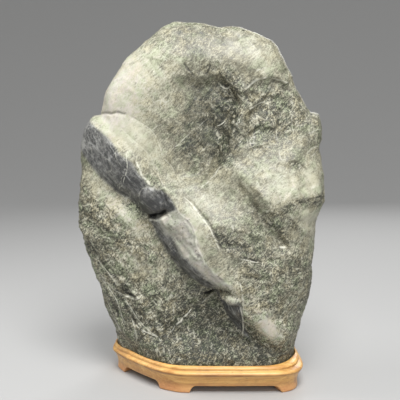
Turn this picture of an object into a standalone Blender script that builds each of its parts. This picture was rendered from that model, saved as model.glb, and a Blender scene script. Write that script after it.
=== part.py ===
"""A scholar's rock standing in its fitted wooden stand.

The stone is one weathered slab of foliated greenstone. A diagonal crest runs down its front face from the
left shoulder to the right foot, with a cliff along its lower-left side and a niche, a sloping shelf and a
shallow groove on its upper-right side. The stand is one carved block: a seat that hugs the stone's foot,
a moulded rim, a hollowed apron and bracket feet.

Lengths in the tables are millimetres, and everything is scaled by MM when a mesh is made. X runs to the
right, Y away from the viewer, Z up. The origin is on the floor, at the middle of the whole object's box.
"""

import math

import bmesh
import bpy
import numpy as np
from mathutils import Vector, noise

MM = 0.001

# --- driving dimensions -------------------------------------------------------------------------------
STONE_CENTRE = (0.0, 180.0)  # x, z of the middle of the front outline
FRONT_DEPTH = 34.0  # how far the upper wall stands in front of the stone's middle plane
BELLY_RISE = 24.0  # how much further forward the lower masses stand
BACK_DEPTH = 54.0  # how far the back stands behind the middle plane
ROUNDNESS = 2.9  # exponent of the pillow section: 2 is an ellipse, more is boxier
LEAN_BACK = 24.0  # how far the lower-left edge of the stone lies behind its middle plane
SEAT_FLOOR = 13.0  # height of the seat's floor in the stand
SEAT_TOP = 28.0  # height of the stand's rim
SEAT_GAP = 0.8  # between the stone's foot and the wall of the seat
REST_GAP = 0.3  # between the stone's underside and the floor of the seat
SETTLE_HEIGHT = 34.0  # above the rim, over which the stone takes on the outline of its foot
APRON_BOTTOM = 7.4  # height of the arches between the feet
FOOT_DEPTH = 12.0  # how far a foot reaches in under the stand
SPANDREL = 7.0  # length of the curve at each side of a foot

STONE_SUBDIVISIONS = 7
STONE_GRAIN = 2.1  # size of the even mesh that the faceted stone is made from
STONE_TRIANGLES = 6200
STAND_STEP = 8.0  # spacing of the stand's sections along its outline

# --- the stone's outline, seen from the front: x, z ----------------------------------------------------
OUTLINE = [
    (-28, 357), (-15, 357.5), (-2, 356.5), (17, 353), (24, 354), (31, 354), (42, 351), (56, 346),
    (68, 341), (75, 332), (80, 320), (87, 306), (95, 289), (105, 273), (110, 271.5), (115, 269.5),
    (118, 261), (118.5, 247), (116, 238), (118, 228), (121, 204), (121, 187), (118, 176), (114.5, 168),
    (112.5, 150), (110, 124), (109, 96), (104, 77), (99, 56), (95, 30), (88, -8), (62, -48), (0, -68),
    (-55, -52), (-80, -15), (-87, 27), (-91, 44), (-98, 73), (-104, 98), (-110, 118), (-117, 142),
    (-120, 166), (-121, 195), (-117.5, 216), (-118.5, 236), (-115, 255), (-106, 267.5), (-98, 272),
    (-92, 292), (-82, 308), (-69, 325), (-54, 339), (-40, 350),
]  # fmt: skip

# --- the plan of the stone's foot, which the seat follows: x, y ----------------------------------------
SEAT = [
    (-89, 26), (-83, 9), (-74, 0), (-57, -19), (-42, -31), (-24, -39.5), (0, -41.5), (35, -42),
    (66, -40.5), (82, -32), (92, -17), (96, -3), (94, 17), (84, 34), (58, 45), (20, 50), (-25, 51),
    (-60, 47), (-80, 39),
]  # fmt: skip

# --- lines on the front face: x, z ---------------------------------------------------------------------
CLIFF_FOOT = [
    (-122, 240), (-112, 228), (-98, 211), (-81, 197), (-66, 188), (-52, 176), (-48, 167), (-42, 153),
    (-33, 138), (-27, 129), (-16, 117), (-2, 107), (10, 100), (18, 92), (25, 76), (35, 62), (44, 54),
    (58, 42), (74, 26),
]  # fmt: skip
CLIFF_CREST = [
    (-116, 270), (-104, 262), (-90, 253), (-82, 246), (-76, 237), (-69, 232), (-62, 227), (-58, 219),
    (-52, 211), (-46, 205), (-37, 202), (-29, 196), (-22, 185), (-14, 179), (-8, 171), (-4, 160),
    (-1, 149), (4, 137), (12, 127), (22, 119), (32, 111), (39, 96), (45, 83), (55, 71), (67, 57),
    (82, 43), (98, 22),
]  # fmt: skip
SHELF_EDGE = [
    (-125, 277), (-98, 273), (-85, 273), (-73, 271), (-47, 257), (-37, 241), (-26, 221), (-12, 210),
    (0, 207), (10, 213), (19, 225), (29, 233), (45, 236), (60, 241), (84, 246), (105, 251), (125, 254),
]  # fmt: skip
CLIFF_DROP = [26.0, 29.0, 31.0, 23.0, 17.0]  # from its left end to the foot of the stone
NICHE_DEPTH = 13.0
NICHE_RIM = [
    (-80, 288), (-55, 298), (-30, 304), (-12, 309), (0, 306), (12, 310), (24, 307), (33, 298), (38, 287),
    (38, 275), (34, 262), (28, 248), (25, 236), (20, 225), (10, 213), (0, 205), (-16, 200), (-30, 186),
    (-44, 160),
]  # fmt: skip
RECESS_RIM = [
    (8, 286), (26, 291), (40, 295), (45, 301), (52, 305), (63, 308), (75, 306), (86, 298), (90, 284),
    (90, 262), (84, 240),
]  # fmt: skip
GROOVE = [(16, 227), (29, 214), (43, 195), (56, 181), (65, 164), (76, 153), (90, 140)]
BROW_LINE = [(-100, 300), (-60, 318), (-20, 322), (20, 326), (60, 322), (110, 300)]
LOWER_BREAK = [(-40, 168), (4, 170), (36, 163), (58, 158), (79, 148), (125, 126)]
FACET_EDGE = [(14, 110), (-1, 92), (-11, 82), (-21, 71), (-36, 47), (-52, 14)]

# Lumps and hollows on the front: x, z, half width, half height, turn in degrees, rise.
FRONT_LUMPS = [
    (8, 330, 60, 16, -8, 6),  # brow above the niche
    (-62, 300, 34, 46, -38, 9),  # smooth left flank
    (40, 268, 5, 26, -8, 3),  # rib between the niche and the rough hollow
    (88, 262, 12, 10, 20, 3),
    (115, 258, 9, 13, 0, 6),  # nub on the right edge
    (114, 200, 12, 22, 0, 7),  # bulge on the right edge
    (94, 222, 8, 4, -20, -2.5),
    (113, 172, 12, 6, 30, -4),
    (70, 205, 24, 15, 24, 4),
    (92, 178, 16, 26, 40, 5),  # ridge beyond the groove
    (60, 110, 45, 40, 0, 4),
    (-41, 175.5, 12, 3.5, 25, -10),  # crevice under the knob of the upper cliff
    (-34, 169, 14, 6, -5, 4),  # ledge below it
    (16, 99.5, 12, 4, 20, -9),  # crevice at the end of the middle cliff
    (26, 111, 11, 6, -30, 3),  # broken ledge above it
    (20, 88, 7, 9, -30, -3),
    (-74, 93, 8, 4, -20, -3),
    (-80, 170, 26, 18, -35, 4),  # upper lip of the lower-left body
    (-58, 120, 30, 45, 20, 3),
    (84, 48, 14, 10, -20, 4),  # toe at the right foot
]

# Half-round knobs on the front: x, z, half width, half height, turn in degrees, rise.
KNOBS = [
    (-47.5, 190, 14, 15, 0, 8),  # blunt end of the upper cliff
    (28, 98, 9, 6, -10, 6),  # chipped knob at the end of the middle cliff
]

# --- the back face: x, z, seen from the front ----------------------------------------------------------
BACK_LEDGE = [(-135, 138), (-92, 158), (-58, 190), (-18, 199), (14, 232), (52, 250), (84, 284), (135, 298)]
BACK_SHELF = [(-135, 62), (-80, 84), (-38, 78), (8, 108), (44, 104), (84, 132), (135, 136)]
BACK_RIB = [(-12, 372), (4, 320), (-8, 270), (-34, 226), (-42, 170), (-70, 110), (-74, 30)]
BACK_LUMPS = [
    (34, 168, 42, 46, 28, 9),
    (-58, 282, 34, 44, 34, 6),
    (58, 304, 30, 30, -10, -8),
    (-78, 122, 28, 30, -20, -6),
    (-2, 246, 18, 26, 30, -7),
    (70, 76, 36, 28, 10, 6),
    (-34, 330, 26, 18, 0, -5),
    (92, 208, 16, 30, 10, -6),
    (-92, 212, 18, 30, 0, 5),
    (-8, 58, 30, 22, -10, -5),
    (26, 206, 12, 7, 30, -5),
]

# --- the plan of the stand at its widest, the main bead: x, y -------------------------------------------
BEAD = [
    (-94, 22), (-92, 13), (-82, -2), (-65, -20), (-46, -37), (-32, -45), (-16, -49.5), (29, -50.5),
    (66, -50), (81, -48.5), (93, -43), (100, -34), (103, -19), (101.5, 5), (97, 22), (84, 41), (62, 53),
    (25, 58), (-25, 59), (-63, 54.5), (-85, 44), (-93, 33),
]  # fmt: skip

# The rim's section from the wall of the seat out to the main bead: share of its width, height.
RIM_PROFILE = [
    (0.3, 27.9), (0.48, 27.3), (0.59, 26.1), (0.59, 24.9), (0.53, 24.2), (0.66, 23.7), (0.87, 23.0),
    (1.0, 21.6), (0.99, 20.2),
]  # fmt: skip
# The hollow below the bead: how far inside the bead, height.
COVE_PROFILE = [(1.1, 19.1), (2.6, 17.2), (4.2, 13.8), (5.1, 10.4)]
APRON_INSET = 5.6
FOOT_SPREAD = 0.8  # how far a foot kicks out at the floor

# Each foot stands on the floor between two points of the plan, going anticlockwise seen from above.
FEET = [
    ((-43, -35), (-11, -46)),
    ((79, -43), (98, -28)),
    ((88, 33), (66, 46)),
    ((-26, 54), (-52, 52)),
    ((-89, 25), (-79, 5)),
]


def smooth(low, high, value):
    """0 below low, 1 above high, and an S curve between them."""
    t = np.clip((value - low) / (high - low), 0.0, 1.0)
    return t * t * (3.0 - 2.0 * t)


def hinge(value, blend):
    """0 below zero, the value itself above it, and a rounded bend between them."""
    bent = (np.clip(value, -blend, blend) + blend) ** 2 / (4.0 * blend)
    return np.where(value > blend, value, bent)


def ramp(low, high, value, blend):
    """0 below low, 1 above high, and a straight slope with rounded ends between them."""
    return (hinge(value - low, blend) - hinge(value - high, blend)) / (high - low)


def curve_through(points, per_span, closed):
    """Points along a smooth Catmull-Rom curve through the given ones."""
    knots = np.array(points, float)
    if closed:
        knots = np.vstack([knots[-1:], knots, knots[:2]])
    else:
        knots = np.vstack([2 * knots[0] - knots[1], knots, 2 * knots[-1] - knots[-2]])
    t = np.linspace(0.0, 1.0, per_span, endpoint=False)[:, None]
    spans = []
    for a, b, c, d in zip(knots, knots[1:], knots[2:], knots[3:]):
        cubic = 2 * b + (c - a) * t + (2 * a - 5 * b + 4 * c - d) * t**2 + (3 * b - a - 3 * c + d) * t**3
        spans.append(0.5 * cubic)
    if not closed:
        spans.append(knots[-2:-1])
    return np.vstack(spans)


def radius_around(points, centre):
    """A function from an angle to the outline's distance from its centre."""
    curve = curve_through(points, 6, closed=True) - np.array(centre)
    angles = np.arctan2(curve[:, 1], curve[:, 0])
    radii = np.hypot(curve[:, 0], curve[:, 1])
    order = np.argsort(angles)
    return lambda angle: np.interp(angle, angles[order], radii[order], period=2 * math.pi)


def beside(points, x, z):
    """Signed distance from a line, positive on its left as it runs, and the share along it."""
    curve = curve_through(points, 5, closed=False)
    lengths = np.hypot(*np.diff(curve, axis=0).T)
    starts = np.concatenate([[0.0], np.cumsum(lengths)[:-1]])
    nearest = np.full(x.shape, np.inf)
    signed = np.zeros(x.shape)
    share = np.zeros(x.shape)
    for (ax, az), (bx, bz), length, start in zip(curve, curve[1:], lengths, starts):
        ux, uz = (bx - ax) / length, (bz - az) / length
        along = np.clip((x - ax) * ux + (z - az) * uz, 0.0, length)
        dx, dz = x - ax - along * ux, z - az - along * uz
        distance = np.hypot(dx, dz)
        closer = distance < nearest
        side = np.where(ux * (z - az) - uz * (x - ax) >= 0, 1.0, -1.0)
        nearest = np.where(closer, distance, nearest)
        signed = np.where(closer, side * distance, signed)
        share = np.where(closer, (start + along) / lengths.sum(), share)
    return signed, share


def lumps(table, x, z):
    """Sum of the rounded lumps and hollows of a table."""
    total = np.zeros(x.shape)
    for cx, cz, half_x, half_z, turn, rise in table:
        c, s = math.cos(math.radians(turn)), math.sin(math.radians(turn))
        along = ((x - cx) * c + (z - cz) * s) / half_x
        across = ((z - cz) * c - (x - cx) * s) / half_z
        total += rise * np.exp(-((along**2 + across**2) ** 1.3))
    return total


def knobs(x, z):
    """Sum of the half-round knobs."""
    total = np.zeros(x.shape)
    for cx, cz, half_x, half_z, turn, rise in KNOBS:
        c, s = math.cos(math.radians(turn)), math.sin(math.radians(turn))
        along = ((x - cx) * c + (z - cz) * s) / half_x
        across = ((z - cz) * c - (x - cx) * s) / half_z
        total += rise * np.sqrt(np.clip(1.0 - along**2 - across**2, 0.0, 1.0))
    return total


def cliff_climb(x, z):
    """How far up the cliff a point is, 0 at its foot and 1 at its crest, and how far along it."""
    above_foot, share = beside(CLIFF_FOOT, x, z)
    below_crest = -beside(CLIFF_CREST, x, z)[0]
    return above_foot / np.maximum(above_foot + below_crest, 6.0), share


def front_face(x, z):
    """How far the front stands before the middle plane."""
    above_shelf, _ = beside(SHELF_EDGE, x, z)
    rise = BELLY_RISE * ramp(0.0, 46.0, -above_shelf, 7.0)

    climb, share = cliff_climb(x, z)
    drop = np.interp(share, [0.0, 0.15, 0.5, 0.78, 1.0], CLIFF_DROP)
    steep = ramp(0.0, 1.0, climb, 0.1)
    rounded = 1.0 - (1.0 - np.clip(climb, 0.0, 1.0)) ** 2.4
    bulging = 0.8 * smooth(0.44, 0.54, share) * smooth(0.84, 0.74, share)
    cliff = drop * (steep + (rounded - steep) * bulging - 1.0)
    cliff *= 0.55 + 0.45 * smooth(24.0, 60.0, z)
    corner = -5.0 * np.exp(-np.abs(climb) / 0.28) * smooth(0.8, 0.4, share)
    spur = 5.0 * np.exp(-(((climb - 1.25) / 0.5) ** 2)) * smooth(0.5, 0.8, share)
    spur *= smooth(34.0, 62.0, z)

    above_niche, _ = beside(NICHE_RIM, x, z)
    niche = -NICHE_DEPTH * (0.8 + 0.5 * smooth(300.0, 230.0, z)) * ramp(0.0, 9.0, -above_niche, 1.6)
    niche *= smooth(197.0, 216.0, z) * smooth(-70.0, 20.0, x)

    above_recess, _ = beside(RECESS_RIM, x, z)
    recess = -6.5 * ramp(0.0, 7.0, -above_recess, 1.5)
    recess *= smooth(236.0, 256.0, z) * smooth(14.0, 58.0, x)

    off_groove, share = beside(GROOVE, x, z)
    groove = 9.0 * (ramp(0.0, 9.0, off_groove, 2.0) - 1.0) * smooth(-45.0, 0.0, off_groove)
    groove *= smooth(0.05, 0.35, share) * smooth(1.0, 0.8, share)

    past_facet, _ = beside(FACET_EDGE, x, z)
    facet = -0.09 * hinge(np.minimum(past_facet, 40.0), 2.0) - 1.8 * ramp(0.0, 4.0, past_facet, 1.0)
    facet *= smooth(112.0, 98.0, z) * smooth(62.0, 30.0, x)

    above_brow, _ = beside(BROW_LINE, x, z)
    crown = -0.22 * hinge(above_brow, 6.0)
    above_break, _ = beside(LOWER_BREAK, x, z)
    undercut = -0.07 * hinge(np.minimum(-above_break, 60.0), 8.0) * smooth(-60.0, 0.0, x)

    steps = cliff + corner + spur + niche + recess + groove + facet + crown + undercut
    return FRONT_DEPTH + rise + steps + lumps(FRONT_LUMPS, x, z) + knobs(x, z)


def back_face(x, z):
    """How far the back stands behind the middle plane."""
    above_ledge, _ = beside(BACK_LEDGE, x, z)
    ledge = -13.0 * ramp(-9.0, 4.0, above_ledge, 3.0) - 0.07 * hinge(above_ledge, 10.0)
    above_shelf, _ = beside(BACK_SHELF, x, z)
    shelf = -7.0 * ramp(-10.0, 0.0, -above_shelf, 2.5) - 3.0 * np.exp(-np.abs(above_shelf) / 6.0)
    right_of_rib, _ = beside(BACK_RIB, x, z)
    rib = -0.1 * np.abs(right_of_rib) + 3.0 * np.exp(-((right_of_rib / 12.0) ** 2))
    return BACK_DEPTH + 3.0 + ledge + shelf + rib + lumps(BACK_LUMPS, x, z)


def middle_plane(x, z, angle):
    """Depth of the edge where the front and the back meet. It wanders a little along the outline."""
    lean = LEAN_BACK * smooth(30.0, -90.0, x) * smooth(190.0, 40.0, z)
    return lean + 4.0 * np.sin(3.0 * angle + 0.6) + 2.5 * np.sin(7.0 * angle + 2.0)


def stone_surface(directions):
    """Carries unit directions to the stone's surface, before its foot is cut."""
    dx, dy, dz = directions.T
    flat = np.clip(np.hypot(dx, dz), 0.0, 1.0)
    angle = np.arctan2(dz, dx)
    reach = flat ** (2.0 / ROUNDNESS)
    swell = np.abs(dy) ** (2.0 / ROUNDNESS)
    outline = radius_around(OUTLINE, STONE_CENTRE)
    nearby = np.linspace(-0.35, 0.35, 15)
    eased = np.mean([outline(angle + turn) for turn in nearby], axis=0)
    # Round the back the small steps of the outline die away.
    radius = outline(angle)
    radius = np.minimum((radius + (eased - radius) * smooth(0.05, 0.6, dy)) * reach, radius)
    x = STONE_CENTRE[0] + radius * np.cos(angle)
    z = STONE_CENTRE[1] + radius * np.sin(angle)
    edge = middle_plane(x, z, angle)
    front = edge - (front_face(x, z) + edge) * swell
    back = edge + (back_face(x, z) - edge) * swell
    return np.stack([x, np.where(dy < 0, front, back), z], axis=1)


def roughen(points, normals):
    """Weathering that runs along the foliation, stronger on the back than on the outline."""
    lengthwise = Vector((0.62, 0.2, -0.76)).normalized()
    amount = np.empty(len(points))
    for i, p in enumerate(points):
        spot = Vector(p)
        layered = spot - lengthwise * (spot.dot(lengthwise) * 0.6)
        broad = noise.fractal(spot / 55.0, 1.0, 2.0, 2)
        bands = noise.ridged_multi_fractal(layered / 26.0, 0.9, 2.1, 3, 1.0, 2.0) - 1.1
        amount[i] = 1.5 * broad + 0.8 * bands
    settled = smooth(SEAT_TOP + 4.0, SEAT_TOP + SETTLE_HEIGHT, points[:, 2])
    by_side = 0.6 + 0.6 * smooth(5.0, 40.0, points[:, 1])
    return points + normals * (amount * settled * by_side)[:, None]


def settle(points):
    """Turns the stone's foot upright onto the outline of the seat."""
    cx, cy = 2.0, 4.0
    x, y = points[:, 0] - cx, points[:, 1] - cy
    seat = radius_around(SEAT, (cx, cy))(np.arctan2(y, x))
    held = smooth(SEAT_TOP + SETTLE_HEIGHT, SEAT_TOP + 2.0, points[:, 2])
    scale = 1.0 + held * (seat / np.maximum(np.hypot(x, y), 1.0) - 1.0)
    return np.stack([cx + x * scale, cy + y * scale, points[:, 2]], axis=1)


def coordinates(mesh):
    points = np.empty(len(mesh.vertices) * 3)
    mesh.vertices.foreach_get("co", points)
    return points.reshape(-1, 3)


def vertex_normals(mesh):
    normals = np.empty(len(mesh.vertices) * 3)
    mesh.vertices.foreach_get("normal", normals)
    return normals.reshape(-1, 3)


def material(name, colour, roughness):
    made = bpy.data.materials.new(name)
    made.use_nodes = True
    shader = made.node_tree.nodes["Principled BSDF"]
    shader.inputs["Base Color"].default_value = (*colour, 1.0)
    shader.inputs["Roughness"].default_value = roughness
    shader.inputs["Metallic"].default_value = 0.0
    return made


def place(name, mesh, finish):
    made = bpy.data.objects.new(name, mesh)
    bpy.context.scene.collection.objects.link(made)
    mesh.materials.append(finish)
    mesh.shade_smooth()
    mesh.set_sharp_from_angle(angle=math.radians(50))
    return made


def build_stone():
    shape = bmesh.new()
    bmesh.ops.create_icosphere(shape, subdivisions=STONE_SUBDIVISIONS, radius=1.0)
    mesh = bpy.data.meshes.new("stone")
    shape.to_mesh(mesh)
    mesh.vertices.foreach_set("co", stone_surface(coordinates(mesh)).ravel())
    mesh.update()
    mesh.vertices.foreach_set("co", roughen(coordinates(mesh), vertex_normals(mesh)).ravel())
    shape.clear()
    shape.from_mesh(mesh)

    # The foot is cut level and stood in the seat.
    everything = shape.verts[:] + shape.edges[:] + shape.faces[:]
    underside = (0.0, 0.0, SEAT_FLOOR + REST_GAP)
    bmesh.ops.bisect_plane(
        shape, geom=everything, dist=1e-4, plane_co=underside, plane_no=(0, 0, -1), clear_outer=True
    )
    shape.to_mesh(mesh)
    mesh.vertices.foreach_set("co", (settle(coordinates(mesh)) * MM).ravel())
    shape.clear()
    shape.from_mesh(mesh)
    bmesh.ops.holes_fill(shape, edges=[e for e in shape.edges if e.is_boundary])
    bmesh.ops.triangulate(shape, faces=shape.faces[:])
    shape.to_mesh(mesh)
    shape.free()

    stone = place("stone", mesh, material("stone", (0.13, 0.14, 0.115), 0.5))
    even = stone.modifiers.new("Even faces", "REMESH")
    even.mode = "VOXEL"
    even.voxel_size = STONE_GRAIN * MM
    even.use_smooth_shade = True
    quads = len(stone.evaluated_get(bpy.context.evaluated_depsgraph_get()).data.polygons)
    fewer = stone.modifiers.new("Fewer faces", "DECIMATE")
    fewer.ratio = STONE_TRIANGLES / (2 * quads)
    return stone


def foot_shares(outline, lengths):
    """Where each foot begins and ends, as lengths along the outline."""
    spans = []
    for start, end in FEET:
        ends = [lengths[np.argmin(np.hypot(*(outline - np.array(p)).T))] for p in (start, end)]
        spans.append(tuple(ends))
    return spans


def bottom_height(length, spans, total):
    """Height of the apron's lower edge: the floor at a foot, and an arch between the feet."""
    height = APRON_BOTTOM
    for start, end in spans:
        inside = (length - start) % total
        span = (end - start) % total
        if inside <= span:
            return 0.0
        gap = min(inside - span, total - inside)
        if gap < SPANDREL:
            height = min(height, APRON_BOTTOM * math.sqrt(1.0 - (1.0 - gap / SPANDREL) ** 2.2))
    return height


def stand_stations(spans, total):
    """Lengths along the outline at which the stand has a section, closer together beside the feet."""
    stations = set(np.arange(0.0, total - STAND_STEP / 2, STAND_STEP).round(3))
    for start, end in spans:
        near = {(edge + side * reach) % total for edge, side in ((start, -1), (end, 1))
                for reach in (0.0, 1.0, 3.2, SPANDREL)}  # fmt: skip
        stations = {s for s in stations if all(abs(s - n) > 1.0 for n in near)} | near
    return sorted(stations)


def rim_widths(outline, outward):
    """How far the main bead lies outside each point of the seat's outline."""
    centre = np.array((4.0, 4.0))
    bead = radius_around(BEAD, centre)
    widths = np.full(len(outline), 7.0)
    for _ in range(12):
        reached = outline + outward * widths[:, None] - centre
        short = bead(np.arctan2(reached[:, 1], reached[:, 0])) - np.hypot(*reached.T)
        widths = widths + short
    return widths


def build_stand():
    outline = curve_through(SEAT, 40, closed=True)
    steps = np.hypot(*(np.roll(outline, -1, axis=0) - outline).T)
    lengths = np.concatenate([[0.0], np.cumsum(steps)[:-1]])
    total = steps.sum()
    tangents = np.roll(outline, -12, axis=0) - np.roll(outline, 12, axis=0)
    tangents /= np.hypot(*tangents.T)[:, None]
    outward = np.stack([tangents[:, 1], -tangents[:, 0]], axis=1)
    widths = rim_widths(outline, outward)
    spans = foot_shares(outline + outward * (widths - APRON_INSET)[:, None], lengths)

    def along(values, length):
        return np.interp(length, lengths, values, period=total)

    def at(length, offset, height):
        x = along(outline[:, 0], length) + along(outward[:, 0], length) * offset
        y = along(outline[:, 1], length) + along(outward[:, 1], length) * offset
        return Vector((x, y, height)) * MM

    shape = bmesh.new()
    rings = []
    for length in stand_stations(spans, total):
        low = bottom_height(length, spans, total)
        width = along(widths, length)
        foot = width - APRON_INSET
        spread = FOOT_SPREAD * (1.0 - low / APRON_BOTTOM)
        middle = 0.5 * (low + APRON_BOTTOM)
        low = min(low, APRON_BOTTOM - 0.2)
        section = [(SEAT_GAP, SEAT_FLOOR), (SEAT_GAP, SEAT_TOP - 0.4), (SEAT_GAP + 0.4, SEAT_TOP)]
        section += [(share * width, height) for share, height in RIM_PROFILE]
        section += [(width - inset, height) for inset, height in COVE_PROFILE]
        section += [(foot, APRON_BOTTOM), (foot + 0.3 * spread, middle - 0.1), (foot + spread, low)]
        section += [(foot - FOOT_DEPTH, low), (foot - FOOT_DEPTH - 1.0, APRON_BOTTOM)]
        rings.append([shape.verts.new(at(length, offset, height)) for offset, height in section])
    for ring, following in zip(rings, rings[1:] + rings[:1]):
        for k in range(len(ring) - 1):
            shape.faces.new((ring[k], ring[k + 1], following[k + 1], following[k]))
    shape.faces.new([ring[0] for ring in rings])
    shape.faces.new([ring[-1] for ring in reversed(rings)])
    bmesh.ops.recalc_face_normals(shape, faces=shape.faces[:])
    bmesh.ops.triangulate(shape, faces=shape.faces[:])
    mesh = bpy.data.meshes.new("stand")
    shape.to_mesh(mesh)
    shape.free()
    return place("stand", mesh, material("waxed wood", (0.42, 0.2, 0.07), 0.45))


def main():
    for leftover in list(bpy.data.objects):
        bpy.data.objects.remove(leftover, do_unlink=True)
    build_stone()
    build_stand()


main()
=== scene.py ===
"""Looks of the scholar's rock and its carved stand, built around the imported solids.

The stone and the stand are made again here from the same form as their solids, in a fine mesh, and then
get what the solids leave out: foliation, grain, chips, cracks and veins on the stone, and softened edges,
tool marks and grain on the wood. Lengths in the tables are millimetres; meshes are in metres.
"""

from math import cos, pi, radians, sin, sqrt

import bmesh
import bpy
import numpy as np
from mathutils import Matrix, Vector, noise


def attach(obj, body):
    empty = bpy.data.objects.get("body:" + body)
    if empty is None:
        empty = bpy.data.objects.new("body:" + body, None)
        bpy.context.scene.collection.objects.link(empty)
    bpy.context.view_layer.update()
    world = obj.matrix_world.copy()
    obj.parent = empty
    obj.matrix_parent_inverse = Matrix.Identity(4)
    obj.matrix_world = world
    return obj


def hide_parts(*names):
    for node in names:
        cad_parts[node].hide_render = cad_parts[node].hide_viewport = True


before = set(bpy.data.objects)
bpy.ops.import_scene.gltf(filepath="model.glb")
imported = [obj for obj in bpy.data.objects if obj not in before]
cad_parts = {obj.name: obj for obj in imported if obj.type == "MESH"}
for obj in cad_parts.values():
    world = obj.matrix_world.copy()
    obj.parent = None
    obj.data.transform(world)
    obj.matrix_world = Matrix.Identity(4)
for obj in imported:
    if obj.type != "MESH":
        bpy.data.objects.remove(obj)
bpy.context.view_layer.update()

MM = 0.001

# --- driving dimensions, the same as the solids'
STONE_CENTRE = (0, 180)
FRONT_DEPTH = 34
BELLY_RISE = 24
BACK_DEPTH = 54
ROUNDNESS = 2.9
LEAN_BACK = 24
SEAT_FLOOR = 13
SEAT_TOP = 28
SEAT_GAP = 0.8
REST_GAP = 0.3
SETTLE_HEIGHT = 34
APRON_BOTTOM = 7.4
FOOT_DEPTH = 12
SPANDREL = 7
CLIFF_DROP = [26, 29, 31, 23, 17]
NICHE_DEPTH = 13
APRON_INSET = 5.6
FOOT_SPREAD = 0.8
FINE_GRAIN = 1  # side of the fine mesh's faces
MOST_TRIANGLES = 195000

# --- the stone's outline, seen from the front: x, z
OUTLINE = [
    (-28, 357), (-15, 357.5), (-2, 356.5), (17, 353), (24, 354), (31, 354), (42, 351), (56, 346),
    (68, 341), (75, 332), (80, 320), (87, 306), (95, 289), (105, 273), (110, 271.5), (115, 269.5),
    (118, 261), (118.5, 247), (116, 238), (118, 228), (121, 204), (121, 187), (118, 176), (114.5, 168),
    (112.5, 150), (110, 124), (109, 96), (104, 77), (99, 56), (95, 30), (88, -8), (62, -48), (0, -68),
    (-55, -52), (-80, -15), (-87, 27), (-91, 44), (-98, 73), (-104, 98), (-110, 118), (-117, 142),
    (-120, 166), (-121, 195), (-117.5, 216), (-118.5, 236), (-115, 255), (-106, 267.5), (-98, 272),
    (-92, 292), (-82, 308), (-69, 325), (-54, 339), (-40, 350),
]

# --- the plan of the stone's foot, which the seat follows: x, y
SEAT = [
    (-89, 26), (-83, 9), (-74, 0), (-57, -19), (-42, -31), (-24, -39.5), (0, -41.5), (35, -42),
    (66, -40.5), (82, -32), (92, -17), (96, -3), (94, 17), (84, 34), (58, 45), (20, 50), (-25, 51),
    (-60, 47), (-80, 39),
]

# --- lines on the front face: x, z
CLIFF_FOOT = [
    (-122, 240), (-112, 228), (-98, 211), (-81, 197), (-66, 188), (-52, 176), (-48, 167), (-42, 153),
    (-33, 138), (-27, 129), (-16, 117), (-2, 107), (10, 100), (18, 92), (25, 76), (35, 62), (44, 54),
    (58, 42), (74, 26),
]
CLIFF_CREST = [
    (-116, 270), (-104, 262), (-90, 253), (-82, 246), (-76, 237), (-69, 232), (-62, 227), (-58, 219),
    (-52, 211), (-46, 205), (-37, 202), (-29, 196), (-22, 185), (-14, 179), (-8, 171), (-4, 160),
    (-1, 149), (4, 137), (12, 127), (22, 119), (32, 111), (39, 96), (45, 83), (55, 71), (67, 57),
    (82, 43), (98, 22),
]
SHELF_EDGE = [
    (-125, 277), (-98, 273), (-85, 273), (-73, 271), (-47, 257), (-37, 241), (-26, 221), (-12, 210),
    (0, 207), (10, 213), (19, 225), (29, 233), (45, 236), (60, 241), (84, 246), (105, 251), (125, 254),
]
NICHE_RIM = [
    (-80, 288), (-55, 298), (-30, 304), (-12, 309), (0, 306), (12, 310), (24, 307), (33, 298), (38, 287),
    (38, 275), (34, 262), (28, 248), (25, 236), (20, 225), (10, 213), (0, 205), (-16, 200), (-30, 186),
    (-44, 160),
]
RECESS_RIM = [
    (8, 286), (26, 291), (40, 295), (45, 301), (52, 305), (63, 308), (75, 306), (86, 298), (90, 284),
    (90, 262), (84, 240),
]
GROOVE = [(16, 227), (29, 214), (43, 195), (56, 181), (65, 164), (76, 153), (90, 140)]
BROW_LINE = [(-100, 300), (-60, 318), (-20, 322), (20, 326), (60, 322), (110, 300)]
LOWER_BREAK = [(-40, 168), (4, 170), (36, 163), (58, 158), (79, 148), (125, 126)]
FACET_EDGE = [(14, 110), (-1, 92), (-11, 82), (-21, 71), (-36, 47), (-52, 14)]

# Each row of such a table is a spot: x, z, half width, half height, turn in degrees, then rise or amount.
# Lumps and hollows on the front.
FRONT_LUMPS = [
    (8, 330, 60, 16, -8, 6),  # brow above the niche
    (-62, 300, 34, 46, -38, 9),  # smooth left flank
    (40, 268, 5, 26, -8, 3),  # rib between the niche and the rough hollow
    (88, 262, 12, 10, 20, 3),
    (115, 258, 9, 13, 0, 6),  # nub on the right edge
    (114, 200, 12, 22, 0, 7),  # bulge on the right edge
    (94, 222, 8, 4, -20, -2.5),
    (113, 172, 12, 6, 30, -4),
    (70, 205, 24, 15, 24, 4),
    (92, 178, 16, 26, 40, 5),  # ridge beyond the groove
    (60, 110, 45, 40, 0, 4),
    (-41, 175.5, 12, 3.5, 25, -10),  # crevice under the knob of the upper cliff
    (-34, 169, 14, 6, -5, 4),  # ledge below it
    (16, 99.5, 12, 4, 20, -9),  # crevice at the end of the middle cliff
    (26, 111, 11, 6, -30, 3),  # broken ledge above it
    (20, 88, 7, 9, -30, -3),
    (-74, 93, 8, 4, -20, -3),
    (-80, 170, 26, 18, -35, 4),  # upper lip of the lower-left body
    (-58, 120, 30, 45, 20, 3),
    (84, 48, 14, 10, -20, 4),  # toe at the right foot
]

# Half-round knobs on the front.
KNOBS = [
    (-47.5, 190, 14, 15, 0, 8),  # blunt end of the upper cliff
    (28, 98, 9, 6, -10, 6),  # chipped knob at the end of the middle cliff
]

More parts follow.
